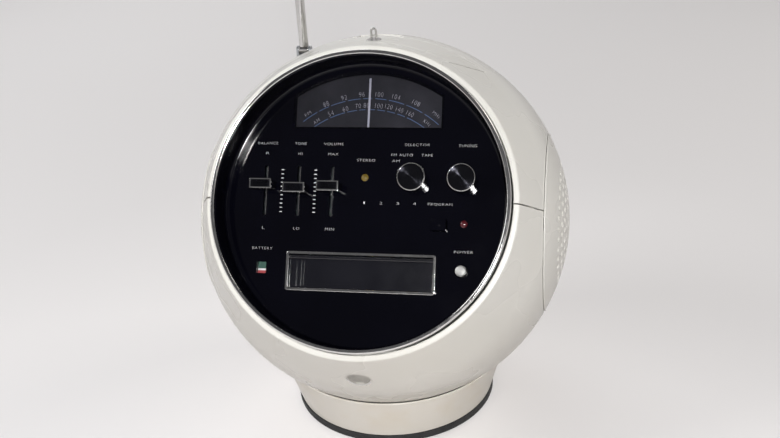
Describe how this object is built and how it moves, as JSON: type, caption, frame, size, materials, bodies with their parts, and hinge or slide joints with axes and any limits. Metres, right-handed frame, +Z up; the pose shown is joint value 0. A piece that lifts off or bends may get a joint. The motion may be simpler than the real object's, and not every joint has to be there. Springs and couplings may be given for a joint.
{
  "type": "8 track player",
  "caption": "Ball-shaped tape cartridge player and radio on a round swivel base, with a sloping control panel, slide controls, side speakers and a telescopic antenna.",
  "frame": {"origin": "centre of the foot ring's underside on the table, under the swivel axis", "axes": "+Z up along the swivel axis; the control panel faces -Y and leans back 33 degrees; +X to the right as seen by the user"},
  "size_m": [0.284, 0.2891, 0.4413],
  "materials": {
    "shell_white": "smooth off-white moulded plastic",
    "panel_black": "polished black",
    "knob_black": "black with a bright rim",
    "black_plastic": "satin",
    "smoked_pane": "clear smoked",
    "scale_grey": "printed",
    "ivory_plastic": "satin",
    "amber_lens": "clear moulded",
    "chrome": "bright plated",
    "steel": "plain",
    "zinc": "passivated sheet",
    "cast": "varnished stampings",
    "aluminium": "plain",
    "cell_jacket": "lacquered jacket",
    "brass": "plain",
    "board_green": "lacquered",
    "rubber": "matt",
    "cone_paper": "pressed paper",
    "pointer_white": "satin",
    "needle_red": "satin"
  },
  "bodies": {
    "base": {"base_drum": "shell_white", "foot_ring": "rubber", "bearing_ring": "black_plastic", "swivel_stud": "steel"},
    "ball": {"upper_shell": "shell_white", "lower_shell": "shell_white", "chrome_ring": "chrome", "front_panel": "panel_black", "dial_window": "smoked_pane", "dial_scale": "scale_grey", "dial_lightbox": "ivory_plastic", "lamps": "amber_lens", "slide_pots": "steel", "selector_switch": "brass", "push_switches": "black_plastic", "battery_meter": "black_plastic", "cartridge_frame": "chrome", "cartridge_tray": "aluminium", "chassis": "zinc", "main_board": "board_green", "tuning_gang": "aluminium", "motor": "steel", "capstan_bearing": "brass", "drive_belt": "rubber", "solenoid": "black_plastic", "transformer": "cast", "speaker_frames": "cast", "speaker_cones": "cone_paper", "speaker_grilles": "shell_white", "battery_can": "black_plastic", "battery_cells": "cell_jacket", "power_sockets": "black_plastic", "phones_jack": "chrome", "panel_screws": "steel"},
    "pointer": {"dial_pointer": "pointer_white"},
    "tuning": {"tuning_knob": "knob_black"},
    "rotor": {"tuning_rotor": "aluminium"},
    "selector": {"selector_knob": "knob_black"},
    "balance": {"balance_slider": "chrome"},
    "tone": {"tone_slider": "chrome"},
    "volume": {"volume_slider": "chrome"},
    "program": {"program_button": "black_plastic"},
    "power": {"power_button": "chrome"},
    "needle": {"meter_needle": "needle_red"},
    "flap": {"cartridge_flap": "panel_black"},
    "pulley": {"motor_pulley": "brass"},
    "wheel": {"flywheel": "steel"},
    "head": {"head_carriage": "brass"},
    "cam": {"ratchet_cam": "ivory_plastic"},
    "plunger": {"solenoid_plunger": "steel"},
    "door": {"battery_door": "shell_white"},
    "handle": {"carry_handle": "shell_white", "hanging_eye": "chrome"},
    "whip_foot": {"antenna_swivel": "chrome"},
    "whip_1": {"antenna_tube": "chrome"},
    "whip_2": {"antenna_middle": "chrome"},
    "whip_3": {"antenna_upper": "chrome"},
    "whip_4": {"antenna_tip": "chrome"}
  },
  "joints": [
    {"name": "ball_swivel", "type": "hinge", "parent": "base", "child": "ball", "pos_m": [0, 0, 0.154], "axis": [0, 0, 1], "continuous": true},
    {"name": "tuning_turn", "type": "hinge", "parent": "ball", "child": "tuning", "pos_m": [0.0697, -0.06075, 0.21468], "axis": [0, -0.8387, 0.5446], "range_deg": [-480, 480]},
    {"name": "pointer_swing", "type": "hinge", "parent": "ball", "child": "pointer", "pos_m": [0, -0.06709, 0.19757], "axis": [0, -0.8387, 0.5446], "range_deg": [-32, 32]},
    {"name": "gang_turn", "type": "hinge", "parent": "ball", "child": "rotor", "pos_m": [0.0697, -0.02805, 0.19344], "axis": [0, -0.8387, 0.5446], "range_deg": [-90, 90]},
    {"name": "selector_turn", "type": "hinge", "parent": "ball", "child": "selector", "pos_m": [0.035, -0.06075, 0.21468], "axis": [0, -0.8387, 0.5446], "range_deg": [-36, 36]},
    {"name": "balance_slide", "type": "slide", "parent": "ball", "child": "balance", "axis": [0, 0.5446, 0.8387], "range_m": [-0.0182, 0.0118]},
    {"name": "tone_slide", "type": "slide", "parent": "ball", "child": "tone", "axis": [0, 0.5446, 0.8387], "range_m": [-0.0158, 0.0142]},
    {"name": "volume_slide", "type": "slide", "parent": "ball", "child": "volume", "axis": [0, 0.5446, 0.8387], "range_m": [-0.0173, 0.0127]},
    {"name": "program_push", "type": "slide", "parent": "ball", "child": "program", "axis": [0, 0.8387, -0.5446], "range_m": [0, 0.003], "stiffness_N_per_m": 300, "springref_m": -0.002},
    {"name": "power_push", "type": "slide", "parent": "ball", "child": "power", "axis": [0, 0.8387, -0.5446], "range_m": [0, 0.003], "stiffness_N_per_m": 300, "springref_m": -0.002},
    {"name": "meter_swing", "type": "hinge", "parent": "ball", "child": "needle", "pos_m": [-0.0718, -0.08703, 0.14851], "axis": [0, -0.8387, 0.5446], "range_deg": [-25, 25], "stiffness_Nm_per_rad": 0.0002},
    {"name": "flap_swing", "type": "hinge", "parent": "ball", "child": "flap", "pos_m": [0, -0.09091, 0.16677], "axis": [1, 0, 0], "range_deg": [0, 85], "stiffness_Nm_per_rad": 0.004, "springref_deg": -28.65},
    {"name": "flywheel_turn", "type": "hinge", "parent": "ball", "child": "wheel", "pos_m": [0.022, -0.032, 0.08893], "axis": [0, 0.5446, 0.8387], "continuous": true},
    {"name": "pulley_turn", "type": "hinge", "parent": "ball", "child": "pulley", "pos_m": [-0.042, -0.05716, 0.10527], "axis": [0, 0.5446, 0.8387], "continuous": true},
    {"name": "plunger_pull", "type": "slide", "parent": "ball", "child": "plunger", "axis": [-1, 0, 0], "range_m": [0, 0.006], "stiffness_N_per_m": 100, "springref_m": -0.006},
    {"name": "cam_turn", "type": "hinge", "parent": "ball", "child": "cam", "pos_m": [-0.008, -0.00082, 0.09288], "axis": [1, 0, 0], "range_deg": [0, 45]},
    {"name": "head_lift", "type": "slide", "parent": "ball", "child": "head", "axis": [0, 0.5446, 0.8387], "range_m": [0, 0.0008]},
    {"name": "door_swing", "type": "hinge", "parent": "ball", "child": "door", "pos_m": [0, 0.127, 0.0835], "axis": [-1, 0, 0], "range_deg": [0, 110]},
    {"name": "handle_lift", "type": "slide", "parent": "ball", "child": "handle", "axis": [0, 0.5446, 0.8387], "range_m": [0, 0.02]},
    {"name": "antenna_turn", "type": "hinge", "parent": "ball", "child": "whip_foot", "pos_m": [-0.06, 0.028, 0.258], "axis": [0, 0, 1], "range_deg": [0, 90]},
    {"name": "antenna_fold", "type": "hinge", "parent": "whip_foot", "child": "whip_1", "pos_m": [-0.06, 0.028, 0.282], "axis": [-1, 0, 0], "range_deg": [0, 90]},
    {"name": "antenna_slide_1", "type": "slide", "parent": "whip_1", "child": "whip_2", "axis": [0, 0, 1], "range_m": [0, 0.135]},
    {"name": "antenna_slide_2", "type": "slide", "parent": "whip_2", "child": "whip_3", "axis": [0, 0, 1], "range_m": [0, 0.135]},
    {"name": "antenna_slide_3", "type": "slide", "parent": "whip_3", "child": "whip_4", "axis": [0, 0, 1], "range_m": [0, 0.135]}
  ],
  "couplings": [
    {"joint": "pointer_swing", "follows": "tuning_turn", "ratio": 0.066667},
    {"joint": "gang_turn", "follows": "tuning_turn", "ratio": 0.1875},
    {"joint": "pulley_turn", "follows": "flywheel_turn", "ratio": 6.3333},
    {"joint": "cam_turn", "follows": "plunger_pull", "rad_per_m": 130.89},
    {"joint": "head_lift", "follows": "plunger_pull", "ratio": 0.1333}
  ]
}
